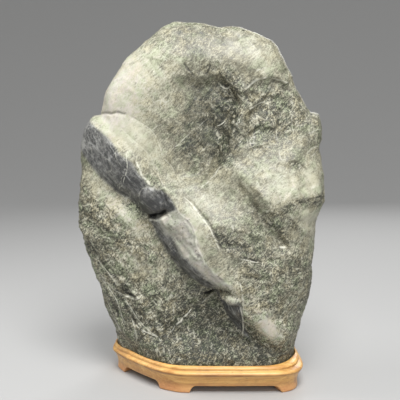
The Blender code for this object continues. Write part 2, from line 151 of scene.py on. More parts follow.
# --- the back face: x, z, seen from the front
BACK_LEDGE = [(-135, 138), (-92, 158), (-58, 190), (-18, 199), (14, 232), (52, 250), (84, 284), (135, 298)]
BACK_SHELF = [(-135, 62), (-80, 84), (-38, 78), (8, 108), (44, 104), (84, 132), (135, 136)]
BACK_RIB = [(-12, 372), (4, 320), (-8, 270), (-34, 226), (-42, 170), (-70, 110), (-74, 30)]
BACK_LUMPS = [
    (34, 168, 42, 46, 28, 9),
    (-58, 282, 34, 44, 34, 6),
    (58, 304, 30, 30, -10, -8),
    (-78, 122, 28, 30, -20, -6),
    (-2, 246, 18, 26, 30, -7),
    (70, 76, 36, 28, 10, 6),
    (-34, 330, 26, 18, 0, -5),
    (92, 208, 16, 30, 10, -6),
    (-92, 212, 18, 30, 0, 5),
    (-8, 58, 30, 22, -10, -5),
    (26, 206, 12, 7, 30, -5),
]

# --- the plan of the stand at its widest, the main bead: x, y
BEAD = [
    (-94, 22), (-92, 13), (-82, -2), (-65, -20), (-46, -37), (-32, -45), (-16, -49.5), (29, -50.5),
    (66, -50), (81, -48.5), (93, -43), (100, -34), (103, -19), (101.5, 5), (97, 22), (84, 41), (62, 53),
    (25, 58), (-25, 59), (-63, 54.5), (-85, 44), (-93, 33),
]

# The rim's section from the wall of the seat out to the main bead: share of its width, height.
RIM_PROFILE = [
    (0.3, 27.9), (0.48, 27.3), (0.59, 26.1), (0.59, 24.9), (0.53, 24.2), (0.66, 23.7), (0.87, 23),
    (1, 21.6), (0.99, 20.2),
]
# The hollow below the bead: how far inside the bead, height.
COVE_PROFILE = [(1.1, 19.1), (2.6, 17.2), (4.2, 13.8), (5.1, 10.4)]

# Where dirt has gathered on the stand, and painted shade in the grooves under the beads and along the
# apron's lower edge: height, reach, amount.
DIRT_AND_SHADE = [(20.6, 1.3, 1), (9, 3, 0.8), (24.3, 0.7, 0.5)]

# Each foot stands on the floor between two points of the plan, going anticlockwise seen from above.
FEET = [
    ((-43, -35), (-11, -46)),
    ((79, -43), (98, -28)),
    ((88, 33), (66, 46)),
    ((-26, 54), (-52, 52)),
    ((-89, 25), (-79, 5)),
]


def smooth(low, high, value):
    """0 below low, 1 above high, and an S curve between them."""
    t = np.clip((value - low) / (high - low), 0, 1)
    return t * t * (3 - 2 * t)


def hinge(value, blend):
    """0 below zero, the value itself above it, and a rounded bend between them."""
    bent = (np.clip(value, -blend, blend) + blend) ** 2 / (4 * blend)
    return np.where(value > blend, value, bent)


def ramp(low, high, value, blend):
    """0 below low, 1 above high, and a straight slope with rounded ends between them."""
    return (hinge(value - low, blend) - hinge(value - high, blend)) / (high - low)


def curve_through(points, per_span, closed):
    """Points along a smooth Catmull-Rom curve through the given ones."""
    knots = np.array(points, float)
    if closed:
        knots = np.vstack([knots[-1:], knots, knots[:2]])
    else:
        knots = np.vstack([2 * knots[0] - knots[1], knots, 2 * knots[-1] - knots[-2]])
    t = np.linspace(0, 1, per_span, endpoint=False)[:, None]
    spans = []
    for a, b, c, d in zip(knots, knots[1:], knots[2:], knots[3:]):
        cubic = 2 * b + (c - a) * t + (2 * a - 5 * b + 4 * c - d) * t**2 + (3 * b - a - 3 * c + d) * t**3
        spans.append(0.5 * cubic)
    if not closed:
        spans.append(knots[-2:-1])
    return np.vstack(spans)


def radius_around(points, centre):
    """A function from an angle to the outline's distance from its centre."""
    curve = curve_through(points, 6, closed=True) - np.array(centre)
    angles = np.arctan2(curve[:, 1], curve[:, 0])
    radii = np.hypot(curve[:, 0], curve[:, 1])
    order = np.argsort(angles)
    return lambda angle: np.interp(angle, angles[order], radii[order], period=2 * pi)


def beside(points, x, z):
    """Signed distance from a line, positive on its left as it runs, and the share along it."""
    curve = curve_through(points, 5, closed=False)
    lengths = np.hypot(*np.diff(curve, axis=0).T)
    starts = np.concatenate([[0], np.cumsum(lengths)[:-1]])
    nearest = np.full(x.shape, np.inf)
    signed = np.zeros(x.shape)
    share = np.zeros(x.shape)
    for (ax, az), (bx, bz), length, start in zip(curve, curve[1:], lengths, starts):
        ux, uz = (bx - ax) / length, (bz - az) / length
        along = np.clip((x - ax) * ux + (z - az) * uz, 0, length)
        dx, dz = x - ax - along * ux, z - az - along * uz
        distance = np.hypot(dx, dz)
        closer = distance < nearest
        side = np.where(ux * (z - az) - uz * (x - ax) >= 0, 1, -1)
        nearest = np.where(closer, distance, nearest)
        signed = np.where(closer, side * distance, signed)
        share = np.where(closer, (start + along) / lengths.sum(), share)
    return signed, share


def turned(spot, x, z):
    """How far points lie along and across a turned spot, in its half sizes."""
    cx, cz, half_x, half_z, turn = spot
    c, s = cos(radians(turn)), sin(radians(turn))
    return ((x - cx) * c + (z - cz) * s) / half_x, ((z - cz) * c - (x - cx) * s) / half_z


def lumps(table, x, z):
    """Sum of the rounded lumps and hollows of a table."""
    total = np.zeros(x.shape)
    for *spot, rise in table:
        along, across = turned(spot, x, z)
        total += rise * np.exp(-((along**2 + across**2) ** 1.3))
    return total


def knobs(x, z):
    """Sum of the half-round knobs."""
    total = np.zeros(x.shape)
    for *spot, rise in KNOBS:
        along, across = turned(spot, x, z)
        total += rise * np.sqrt(np.clip(1 - along**2 - across**2, 0, 1))
    return total


def cliff_climb(x, z):
    """How far up the cliff a point is, 0 at its foot and 1 at its crest, and how far along it."""
    above_foot, share = beside(CLIFF_FOOT, x, z)
    below_crest = -beside(CLIFF_CREST, x, z)[0]
    return above_foot / np.maximum(above_foot + below_crest, 6), share


def front_face(x, z):
    """How far the front stands before the middle plane."""
    above_shelf, _ = beside(SHELF_EDGE, x, z)
    rise = BELLY_RISE * ramp(0, 46, -above_shelf, 7)

    climb, share = cliff_climb(x, z)
    drop = np.interp(share, [0, 0.15, 0.5, 0.78, 1], CLIFF_DROP)
    steep = ramp(0, 1, climb, 0.1)
    rounded = 1 - (1 - np.clip(climb, 0, 1)) ** 2.4
    bulging = 0.8 * smooth(0.44, 0.54, share) * smooth(0.84, 0.74, share)
    cliff = drop * (steep + (rounded - steep) * bulging - 1)
    cliff *= 0.55 + 0.45 * smooth(24, 60, z)
    corner = -5 * np.exp(-np.abs(climb) / 0.28) * smooth(0.8, 0.4, share)
    spur = 5 * np.exp(-(((climb - 1.25) / 0.5) ** 2)) * smooth(0.5, 0.8, share)
    spur *= smooth(34, 62, z)

    above_niche, _ = beside(NICHE_RIM, x, z)
    niche = -NICHE_DEPTH * (0.8 + 0.5 * smooth(300, 230, z)) * ramp(0, 9, -above_niche, 1.6)
    niche *= smooth(197, 216, z) * smooth(-70, 20, x)

    above_recess, _ = beside(RECESS_RIM, x, z)
    recess = -6.5 * ramp(0, 7, -above_recess, 1.5)
    recess *= smooth(236, 256, z) * smooth(14, 58, x)

    off_groove, share = beside(GROOVE, x, z)
    groove = 9 * (ramp(0, 9, off_groove, 2) - 1) * smooth(-45, 0, off_groove)
    groove *= smooth(0.05, 0.35, share) * smooth(1, 0.8, share)

    past_facet, _ = beside(FACET_EDGE, x, z)
    facet = -0.09 * hinge(np.minimum(past_facet, 40), 2) - 1.8 * ramp(0, 4, past_facet, 1)
    facet *= smooth(112, 98, z) * smooth(62, 30, x)

    above_brow, _ = beside(BROW_LINE, x, z)
    crown = -0.22 * hinge(above_brow, 6)
    above_break, _ = beside(LOWER_BREAK, x, z)
    undercut = -0.07 * hinge(np.minimum(-above_break, 60), 8) * smooth(-60, 0, x)

    steps = cliff + corner + spur + niche + recess + groove + facet + crown + undercut
    return FRONT_DEPTH + rise + steps + lumps(FRONT_LUMPS, x, z) + knobs(x, z)


def back_face(x, z):
    """How far the back stands behind the middle plane."""
    above_ledge, _ = beside(BACK_LEDGE, x, z)
    ledge = -13 * ramp(-9, 4, above_ledge, 3) - 0.07 * hinge(above_ledge, 10)
    above_shelf, _ = beside(BACK_SHELF, x, z)
    shelf = -7 * ramp(-10, 0, -above_shelf, 2.5) - 3 * np.exp(-np.abs(above_shelf) / 6)
    right_of_rib, _ = beside(BACK_RIB, x, z)
    rib = -0.1 * np.abs(right_of_rib) + 3 * np.exp(-((right_of_rib / 12) ** 2))
    return BACK_DEPTH + 3 + ledge + shelf + rib + lumps(BACK_LUMPS, x, z)


def middle_plane(x, z, angle):
    """Depth of the edge where the front and the back meet. It wanders a little along the outline."""
    lean = LEAN_BACK * smooth(30, -90, x) * smooth(190, 40, z)
    return lean + 4 * np.sin(3 * angle + 0.6) + 2.5 * np.sin(7 * angle + 2)


def stone_surface(directions):
    """Carries unit directions to the stone's surface, before its foot is cut."""
    dx, dy, dz = directions.T
    flat = np.clip(np.hypot(dx, dz), 0, 1)
    angle = np.arctan2(dz, dx)
    reach = flat ** (2 / ROUNDNESS)
    swell = np.abs(dy) ** (2 / ROUNDNESS)
    outline = radius_around(OUTLINE, STONE_CENTRE)
    nearby = np.linspace(-0.35, 0.35, 15)
    eased = np.mean([outline(angle + turn) for turn in nearby], axis=0)
    # Round the back the small steps of the outline die away.
    radius = outline(angle)
    radius = np.minimum((radius + (eased - radius) * smooth(0.05, 0.6, dy)) * reach, radius)
    x = STONE_CENTRE[0] + radius * np.cos(angle)
    z = STONE_CENTRE[1] + radius * np.sin(angle)
    edge = middle_plane(x, z, angle)
    front = edge - (front_face(x, z) + edge) * swell
    back = edge + (back_face(x, z) - edge) * swell
    return np.stack([x, np.where(dy < 0, front, back), z], axis=1)


def roughen(points, normals):
    """Weathering that runs along the foliation, stronger on the back than on the outline."""
    lengthwise = Vector((0.62, 0.2, -0.76)).normalized()
    amount = np.empty(len(points))
    for i, p in enumerate(points):
        spot = Vector(p)
        layered = spot - lengthwise * (spot.dot(lengthwise) * 0.6)
        broad = noise.fractal(spot / 55, 1, 2, 2)
        bands = noise.ridged_multi_fractal(layered / 26, 0.9, 2.1, 3, 1, 2) - 1.1
        amount[i] = 1.5 * broad + 0.8 * bands
    settled = smooth(SEAT_TOP + 4, SEAT_TOP + SETTLE_HEIGHT, points[:, 2])
    by_side = 0.6 + 0.6 * smooth(5, 40, points[:, 1])
    return points + normals * (amount * settled * by_side)[:, None]


def settle(points):
    """Turns the stone's foot upright onto the outline of the seat."""
    cx, cy = 2, 4
    x, y = points[:, 0] - cx, points[:, 1] - cy
    seat = radius_around(SEAT, (cx, cy))(np.arctan2(y, x))
    held = smooth(SEAT_TOP + SETTLE_HEIGHT, SEAT_TOP + 2, points[:, 2])
    scale = 1 + held * (seat / np.maximum(np.hypot(x, y), 1) - 1)
    return np.stack([cx + x * scale, cy + y * scale, points[:, 2]], axis=1)


def read(mesh, what="co"):
    """The places of the mesh's vertices, or their normals."""
    values = np.empty(len(mesh.vertices) * 3)
    mesh.vertices.foreach_get(what, values)
    return values.reshape(-1, 3)


def move(mesh, points):
    mesh.vertices.foreach_set("co", points.ravel())
    mesh.update()


# --- noise over whole arrays of points
def wave(points, size, seed):
    """Gradient noise, about -1 to 1, at the given size in the points' own unit. size may differ by axis."""
    table = np.random.default_rng(seed)
    order = np.tile(table.permutation(256), 2)
    slopes = table.normal(size=(256, 3))
    slopes /= np.linalg.norm(slopes, axis=1)[:, None]
    scaled = points / np.asarray(size, float)
    cell = np.floor(scaled).astype(int)
    inside = scaled - cell
    cell &= 255
    ease = inside**3 * (inside * (inside * 6 - 15) + 10)
    total = np.zeros(len(points))
    for corner in np.ndindex(2, 2, 2):
        step = np.array(corner)
        where = (cell + step) & 255
        slope = slopes[order[order[order[where[:, 0]] + where[:, 1]] + where[:, 2]]]
        reach = ((inside - step) * slope).sum(axis=1)
        share = np.prod(np.where(step == 1, ease, 1 - ease), axis=1)
        total += share * reach
    return total * 1.6


def cloud(points, size, octaves, seed):
    """Several octaves of noise, each half as large and half as strong as the one before."""
    size = np.asarray(size, float)
    return sum(wave(points, size / 2**k, seed + k) / 2**k for k in range(octaves))


def ridges(points, size, octaves, seed):
    """Noise folded into sharp ridges, 0 to about 1."""
    size = np.asarray(size, float)
    folded = [(1 - np.abs(wave(points, size / 2**k, seed + k))) ** 2 / 2**k for k in range(octaves)]
    return sum(folded) / (2 - 0.5 ** (octaves - 1))


def flakes(points, size, steps, seed):
    """Noise cut into terraces with steep edges, like broken layers, 0 to about 1."""
    level = steps * (0.5 + 0.5 * cloud(points, size, 2, seed))
    return (np.floor(level) + smooth(0, 0.22, level - np.floor(level))) / steps


# --- what the solids leave out
# Cracks, veins and chips on the front: half width, height above the surface, paint, then points x, z.
# Paint is how light the line is: 1 is a white vein, -1 a dark crack whose darkness is painted shadow.
STROKES = [
    (1.1, -1.3, -0.22, (-113, 268), (-94, 272), (-78, 273), (-68, 272)),
    (0.5, -0.5, 0.33, (-70, 272), (-56, 264), (-46, 256), (-40, 245), (-36, 232), (-28, 222), (-24, 212)),
    (0.7, 0.4, 0.5, (-23, 192), (-20, 181), (-10, 173), (-6, 164), (-4, 152), (-1, 146), (5, 130)),
    (0.6, -0.5, 0.7, (-18, 196), (-10, 190), (-1, 179), (8, 168), (13, 157), (18, 146)),
    (0.9, -0.7, -0.3, (-9, 191), (0, 181), (9, 170), (15, 158), (20, 146)),
    (0.7, -0.9, 0.3, (-60, 194), (-57, 201), (-50, 205.5), (-43, 203)),
    (0.8, -0.8, -0.35, (-36, 203), (-34, 194), (-33, 185)),
    (0.99, 0.5, 0.77, (-62, 231), (-58, 223), (-55, 216), (-49, 209), (-47, 205)),
    (0.5, -0.4, 0.24, (-57, 235), (-45, 225), (-37, 209), (-31, 200)),
    (0.5, -0.3, 0.18, (-78, 262), (-63, 248), (-51, 237), (-41, 222)),
    (0.5, 0.1, 0.85, (-69, 238), (-69, 222), (-73, 210), (-79, 198)),
    (0.43, 0.1, 0.36, (-80, 239), (-78, 231), (-75, 225)),
    (0.37, 0, 0.27, (-88, 232), (-85, 226), (-85, 219), (-90, 216)),
    (0.8, -1.1, -0.5, (-17, 320), (-11, 312), (-5, 306)),
    (0.7, -1.3, -0.6, (9.5, 317.5), (6.5, 313), (3, 308.5)),
    (1.05, -1.54, -0.45, (18, 300), (23, 298), (28, 300)),
    (0.62, 0.5, 0.94, (18, 298), (23, 296), (28, 298)),
    (0.62, 0.5, 1.02, (15, 260), (23, 265)),
    (0.5, 0.1, 0.68, (-46, 257), (-37, 262)),
    (0.5, 0.1, 0.42, (-29, 236), (-18, 247), (-9, 256)),
    (0.43, 0.1, 0.42, (-1, 234), (7, 244)),
    (0.56, 0.2, 0.42, (-4, 199), (2, 205), (12, 213), (19, 224)),
    (0.5, 0.3, 0.68, (44, 277), (61, 283)),
    (0.5, 0.2, 0.42, (49, 252), (56, 257)),
    (0.56, 0.2, 0.77, (34, 243), (40, 249)),
    (0.43, 0, 0.36, (43, 249), (45, 239)),
    (0.43, 0, 0.42, (71, 257), (72, 244)),
    (0.43, 0, 0.42, (86, 271), (87, 252)),
    (0.81, 0.6, 0.42, (39, 294), (47, 299), (55, 305), (66, 306), (74, 303), (85, 300)),
    (0.56, -0.5, 0.36, (101, 253), (107, 255), (116, 257)),
    (0.74, -0.9, 0.24, (99, 234), (105, 239), (114, 241)),
    (0.43, -0.2, 0.24, (17, 352), (18, 346), (20, 342)),
    # The crevice under the knob, its black a painted shadow, and the painted highlight of the lit ledge
    # below it.
    (1.1, -1.9, -1, (-51, 172), (-46, 174), (-41, 177), (-32, 181)),
    (0.85, 1.1, 0.8, (-51, 167.5), (-46, 170), (-40, 172), (-33, 175.5), (-27, 178)),
    (0.75, -0.88, -0.36, (32, 139), (38, 140), (47, 139), (60, 136)),
    (0.56, 0.5, 0.77, (34, 137), (38, 138), (47, 137), (55, 135)),
    (0.87, 0.6, 0.85, (74, 148), (81, 149)),
    (0.81, 0.5, 0.77, (60, 183), (63, 185)),
    (0.43, 0.1, 0.36, (-32, 145), (-25, 155), (-18, 161)),
    (0.37, 0, 0.3, (-30, 142), (-22, 153)),
    (1.1, -1.5, -0.8, (2, 96), (8, 97), (13, 99)),
    (0.7, -0.8, -0.4, (13, 99), (20, 104), (28, 105)),
    (0.8, 0.8, 0.8, (9, 101), (12, 99), (15, 102)),
    (0.6, 0.3, 0.7, (36, 118), (38, 106), (40, 97)),
    (0.6, 0.4, 0.8, (37, 95), (39, 82), (41, 67), (41, 52)),
    (0.62, 0.2, 0.36, (15, 97), (4, 90), (-4, 83)),
    (0.7, 0.4, 0.9, (-8, 81), (-14, 75), (-20, 67), (-25, 61)),
    (0.62, 0.2, 0.36, (-17, 71), (-26, 61), (-35, 50)),
    (0.56, 0.2, 0.68, (-68, 62), (-56, 56), (-45, 52), (-39, 48)),
    (0.9, 0.6, 1, (-75, 91), (-70, 90), (-65, 89)),
    (0.55, 0.2, 0.7, (-66, 89), (-62, 91), (-58, 95)),
    (1.3, -1.3, -0.5, (-77, 97), (-72, 94), (-64, 93)),
    (0.6, 0.3, 0.6, (-104, 114), (-95, 105), (-88, 98), (-81, 94), (-76, 91)),
    (0.6, 0.3, 0.5, (-77, 90), (-71, 81), (-65, 71), (-58, 62), (-49, 55), (-39, 49)),
    (1, -1, -0.4, (-80, 89), (-74, 79), (-68, 68), (-60, 57)),
    (0.6, 0.3, 0.5, (-102, 108), (-94, 100), (-88, 92), (-83, 82), (-81, 71), (-76, 59)),
    (0.9, -0.9, -0.35, (-100, 100), (-92, 88), (-87, 76), (-82, 62)),
    (0.55, 0.3, 0.5, (-94, 68), (-87, 59), (-83, 47)),
    (0.55, 0.2, 0.4, (-98, 84), (-91, 72), (-86, 60), (-80, 46)),
    (0.6, 0.3, 0.6, (-70, 69), (-67, 61), (-65, 52), (-64, 45)),
    (0.9, -0.9, -0.35, (-112, 150), (-104, 134), (-96, 122), (-88, 112)),
    (0.6, 0.3, 0.4, (-107, 134), (-99, 122), (-90, 113), (-83, 103)),
    (0.43, 0, 0.3, (-68, 59), (-65, 40)),
    (0.56, 0.3, 0.77, (-95, 153), (-88, 152)),
    (0.43, -0.3, 0.24, (-111, 163), (-101, 163)),
    (0.5, 0.1, 0.42, (-28, 85), (-26, 75)),
    (0.5, 0.1, 0.36, (-8, 61), (-7, 51)),
    (0.5, 0.1, 0.36, (27, 53), (24, 48)),
]

# Spots of the front that are lighter or darker: partly the stone's own tone and partly painted light and
# shade, lighter where the surface turns up to the lamps and darker in hollows, under ledges and where it
# faces down.
TONE_LIGHT_AND_SHADE = [
    (-66, 296, 44, 62, -38, 0.58),  # left flank, painted sheen
    (-74, 294, 22, 42, -38, 0.32),
    (-10, 340, 66, 18, -4, -0.14),
    (52, 324, 42, 22, -28, 0.34),
    (-60, 250, 56, 17, -42, 0.38),  # band above the crest
    (-18, 195, 30, 20, -50, 0.18),
    (6, 150, 16, 44, 32, 0.3),
    (38, 200, 50, 26, 14, 0.3),  # shelf
    (92, 214, 30, 26, 0, 0.28),
    (92, 172, 26, 24, 40, 0.42),
    (106, 190, 12, 40, 0, 0.26),
    (60, 78, 12, 34, 42, 0.54),  # spur, its top lighter: painted light
    (63, 70, 9, 18, 42, 0.66),
    (46, 66, 5, 14, 42, -0.3),
    (28, 98, 9, 5, -10, 0.75),  # chipped knob
    (-88, 190, 12, 40, 40, 0.47),  # lip of the lower-left body, painted highlight
    (-62, 165, 9, 26, 42, 0.24),
    (-68, 132, 30, 36, -40, 0.2),
    (-84, 158, 30, 5, -44, -0.16),
    (-66, 150, 26, 4, -40, -0.14),
    (8, 262, 32, 46, -16, -0.25),  # niche, painted shade
    (26, 284, 9, 24, 0, -0.26),
    (20, 248, 6, 22, 12, -0.24),
    (42, 262, 7, 24, -6, 0.14),
    (64, 276, 34, 32, 0, -0.08),  # rough hollow
    (54, 180, 9, 34, 40, -0.08),  # wall of the groove
    (88, 225, 12, 6, -20, -0.3),
    (100, 191, 17, 5, 10, -0.42),
    (112, 190, 7, 8, 0, -0.35),
    (80, 186, 10, 4, 30, -0.3),
    (87, 169, 13, 4, -42, -0.34),
    (74, 166, 19, 6, -62, -0.36),
    (10, 58, 44, 38, 0, -0.38),  # facet over the seat
    (-60, 70, 40, 40, -30, -0.2),
    (-24, 63, 23, 5, 50, -0.5),  # valley that runs down to the seat
    (-73, 99, 8, 6, -30, -0.38),
    (-90, 112, 18, 4, -45, -0.26),
    (-50, 81, 8, 5, -30, 0.24),
    (-62, 128, 26, 9, -42, 0.2),
    (17, 159, 8, 5, -55, -0.34),
    (33, 150, 22, 7, -12, -0.16),
    (74, 38, 20, 13, -10, -0.5),  # toe at the right
    (0, 24, 120, 12, 0, -0.12),
]

# Small bumps and dents on the front.
BUMPS = [
    (24, 100, 5, 4.5, 0, 4),  # the chipped knob at the end of the middle cliff
    (31, 98, 5.5, 4.5, 0, 3.2),
    (-38, 197, 5, 7, 30, -3),  # hollow behind the blunt end of the upper cliff
    (58, 214, 14, 5, 35, 1.6),
    (68, 222, 10, 4, 10, -1.6),
    (60, 194, 14, 4, -50, 1.4),
    (104, 186, 10, 3, 20, -2.2),
    (98, 204, 9, 3.5, 20, -1.8),
    (79, 164, 10, 3, -35, -1.8),
    (52, 120, 12, 3, -10, -1.4),
    (30, 150, 14, 4, -15, -1.6),
    (64, 262, 8, 5, 30, 2),
    (50, 272, 8, 3, 30, -2),
    (72, 286, 10, 3, -30, -2),
    (-74, 100, 7, 5, -30, -2),
    (-92, 148, 14, 3, -48, -1.2),
    (-60, 112, 20, 3, -45, -1),
    (-24, 64, 22, 5, 50, -3.4),  # valley that runs down to the seat
]

# The dark face of the low cliff, partly painted shade: its height above the floor, and how far up its slope
# it reaches there.
LOW_CLIFF_HEIGHT = [50, 57, 66, 75, 90]
LOW_CLIFF_TOP = [0, 0.2, 0.4, 0.62, 0.9]
# Where the face has broken away between the middle and the low cliff: x, z, half width, half height.
BROKEN_END = (25, 104, 14, 9)
# The crevice across the cliff: a point on it, and its rise for each millimetre to the right.
CREVICE = (-49, 173)
CREVICE_SLOPE = 0.47
FOLIATION_DIP = 44  # degrees, down to the right
SCRATCH_DIP = -48
LINE_JITTER = 1.2  # how far the cracks and scarps waver

# Spots where the surface is coarser or smoother than its tone tells.
COARSENESS = [
    (-84, 160, 40, 60, -40, 0.8),
    (-72, 294, 34, 54, -38, 0.9),  # left flank
    (-60, 100, 40, 50, 0, 0.3),
    (8, 262, 32, 44, -16, -0.42),  # niche
    (64, 110, 45, 40, 0, 0.3),
    (64, 276, 32, 30, 0, 0.25),
    (96, 180, 26, 30, 0, 0.35),
    (64, 74, 15, 32, 42, 1.15),
    (27, 100, 12, 8, -10, 1.2),
    (-5, 338, 60, 20, 0, -0.25),
    (70, 200, 30, 20, 20, 0.15),
]

# Small scarps on the front: height of the upper side, distance over which it dies away, then points x, z.
# A height below zero raises the lower side instead.
LEDGES = [
    (1.4, 12, (-95, 168), (-86, 158), (-77, 150), (-66, 141), (-54, 133), (-40, 126)),
    (2, 12, (-108, 145), (-100, 136), (-92, 125), (-85, 116), (-79, 105), (-71, 97)),
    (1.4, 9, (-70, 86), (-64, 78), (-54, 68), (-44, 58), (-38, 50)),
    (-0.9, 7, (-100, 108), (-94, 100), (-88, 92), (-81, 84), (-73, 74), (-67, 64), (-64, 50), (-62, 39)),
    (-0.8, 6, (-99, 80), (-94, 68), (-85, 55), (-80, 38)),
    (-0.8, 6, (-90, 78), (-82, 65), (-75, 53), (-71, 42)),
    (0.9, 12, (-103, 198), (-93, 186), (-80, 174), (-68, 163)),
    (1, 9, (-112, 173), (-102, 157), (-93, 143)),
    (1, 9, (39, 213), (47, 205), (56, 197), (64, 185), (69, 173), (74, 160)),
    (1.5, 9, (78, 223), (86, 228), (93, 226), (100, 219)),
    (-1.6, 8, (70, 186), (79, 199), (90, 208)),
    (2.2, 10, (86, 193), (98, 195), (108, 196), (116, 199)),
    (1.8, 9, (77, 182), (85, 175), (93, 164), (101, 155)),
    (1.2, 7, (73, 187), (79, 189), (88, 192)),
    (0.9, 10, (11, 170), (20, 168), (31, 166), (46, 161), (57, 155), (65, 149)),
    (1.5, 8, (25, 140), (36, 138), (46, 139), (57, 136), (70, 138), (80, 139)),
    (2.4, 8, (55, 304), (65, 307), (74, 304), (81, 297)),
    (1.8, 8, (55, 287), (67, 288), (74, 280), (78, 268)),
    (-1.4, 7, (63, 287), (51, 279), (41, 272)),
    (1.6, 7, (31, 262), (39, 252), (48, 256), (60, 263)),
    (1.4, 7, (44, 238), (56, 242), (69, 245)),
    (1.6, 6, (15, 311), (25, 303), (34, 288), (34, 274), (28, 260)),
    (0.9, 9, (-75, 313), (-62, 320), (-46, 323), (-30, 318)),
    (1.1, 9, (30, 118), (42, 124), (56, 121), (70, 125)),
    (1.2, 9, (52, 104), (66, 101), (80, 106), (94, 100)),
]


def filled(spot, power, x, z):
    """1 inside an upright ellipse and 0 outside it, with a softer edge for a lower power."""
    cx, cz, half_x, half_z = spot
    return np.exp(-((((x - cx) / half_x) ** 2 + ((z - cz) / half_z) ** 2) ** power))


def near_line(points, x, z, reach):
    """Signed distance from a line for the points near it, and infinity for the others."""
    xs, zs = zip(*points)
    chosen = (x > min(xs) - reach) & (x < max(xs) + reach) & (z > min(zs) - reach) & (z < max(zs) + reach)
    distance = np.full(x.shape, np.inf)
    signed, share = beside(points, x[chosen], z[chosen])
    distance[chosen] = signed
    ends = np.zeros(x.shape)
    ends[chosen] = smooth(0, 0.12, share) * smooth(1, 0.88, share)
    return distance, ends


def modified(obj, kind, **settings):
    """The object with one modifier applied to its mesh."""
    step = obj.modifiers.new("step", kind)
    for key, value in settings.items():
        setattr(step, key, value)
    mesh = bpy.data.meshes.new_from_object(obj.evaluated_get(bpy.context.evaluated_depsgraph_get()))
    obj.modifiers.clear()
    old, obj.data = obj.data, mesh
    bpy.data.meshes.remove(old)
    return obj


def new_object(name, mesh):
    made = bpy.data.objects.new(name, mesh)
    bpy.context.scene.collection.objects.link(made)
    return made


def rough_stone():
    """The stone's form in an even fine mesh, in millimetres."""
    shape = bmesh.new()
    bmesh.ops.create_icosphere(shape, subdivisions=8, radius=1)
    mesh = bpy.data.meshes.new("stone_form")
    shape.to_mesh(mesh)
    move(mesh, stone_surface(read(mesh)))
    move(mesh, roughen(read(mesh), read(mesh, "normal")))
    shape.clear()
    shape.from_mesh(mesh)
    everything = shape.verts[:] + shape.edges[:] + shape.faces[:]
    underside = (0, 0, SEAT_FLOOR + REST_GAP)
    bmesh.ops.bisect_plane(
        shape, geom=everything, dist=1e-4, plane_co=underside, plane_no=(0, 0, -1), clear_outer=True
    )
    shape.to_mesh(mesh)
    move(mesh, settle(read(mesh)))
    shape.clear()
    shape.from_mesh(mesh)
    bmesh.ops.holes_fill(shape, edges=[e for e in shape.edges if e.is_boundary])
    bmesh.ops.triangulate(shape, faces=shape.faces[:])
    shape.to_mesh(mesh)
    shape.free()
    stone = new_object("stone_surface", mesh)
    return modified(stone, "REMESH", mode="VOXEL", voxel_size=FINE_GRAIN)


def thin_out(stone):
    """Joins faces where the surface is flat, down to MOST_TRIANGLES."""
    share = MOST_TRIANGLES / sum(len(face.vertices) - 2 for face in stone.data.polygons)
    if share < 1:
        modified(stone, "DECIMATE", ratio=share)


class Surface:
    """Where the stone's points lie in its form: on which side, how far up the cliff, along which layer."""

    def __init__(self, mesh):
        self.points = read(mesh)
        self.normals = read(mesh, "normal")
        x, y, z = self.points.T
        angle = np.arctan2(z - STONE_CENTRE[1], x - STONE_CENTRE[0])
        self.front = smooth(16, -4, y - middle_plane(x, z, angle))

        # The foliation dips from the upper left to the lower right, steeper towards the left edge.
        turn = radians(FOLIATION_DIP)
        along = x * cos(turn) - z * sin(turn) + 0.15 * y
        across = x * sin(turn) + z * cos(turn)
        steeper = np.clip(-x - 30, 0, 90) * np.clip(210 - z, 0, 190)
        across = across + 7 * wave(self.points, 70, 11) - 0.0024 * steeper
        self.sheets = np.stack([along, y, across], axis=1)
        jitter = LINE_JITTER * wave(self.points, 9, 91)
        self.wavering = (x + jitter, z - jitter)

        climb, self.share = cliff_climb(x, z)
        top = np.where(self.share < 0.7, 0.98, np.interp(z, LOW_CLIFF_HEIGHT, LOW_CLIFF_TOP))
        # The cliff's dark face: partly its own darker, smoother stone and partly painted shade, as it faces
        # down.
        self.cliff = smooth(-0.05, 0.08, climb) * smooth(top + 0.04, top - 0.05, climb) * self.front
        self.cliff *= 1 - filled(BROKEN_END, 2, x, z)
        self.crest = np.exp(-(((climb - 1) / 0.1) ** 2)) * self.front * smooth(0.9, 0.7, self.share)
        self.tone = 0.4 + lumps(TONE_LIGHT_AND_SHADE, x, z) * self.front + 0.1 * (1 - self.front)
        above_crevice = z - CREVICE[1] - CREVICE_SLOPE * (x - CREVICE[0])
        paler = smooth(0, -3, above_crevice) * smooth(98, 110, z)
        foot = 0.16 + 0.26 * smooth(160, 120, z)
        paler *= smooth(foot, foot + 0.26, climb + 0.14 * wave(self.points, 12, 17))
        knob = filled(KNOBS[0][:4], 3, x, z)
        patches = 0.1 * cloud(self.points, 14, 3, 19)
        low = smooth(98, 90, z)
        upper = 0.06 + 0.12 * smooth(0.24, 0.04, self.share)
        self.rough = np.clip(1.15 - 1.4 * self.tone + lumps(COARSENESS, x, z) * self.front, 0, 1)
        self.rough += (0.05 + 0.6 * paler + 0.2 * low - self.rough) * self.cliff
        # Over the dark face the tone is set low, which is partly painted shade; below the crevice it is
        # paler up the middle cliff's slope.
        self.tone += (0.14 + upper + 1.1 * paler - 0.12 * low + patches - self.tone) * self.cliff
        # The blunt knob is dark with a lighter top: painted shade below and painted light on top.
        self.tone += (0.04 + 0.38 * smooth(184, 206, z) - self.tone) * knob * self.front
        # Up the middle cliff below the crevice the stone takes less of the dark face's colour and its
        # painted shade, and has the colours of the stone around it.
        self.dark_face_and_shade_share = np.maximum(self.cliff * (1 - 0.65 * paler), knob * self.front)


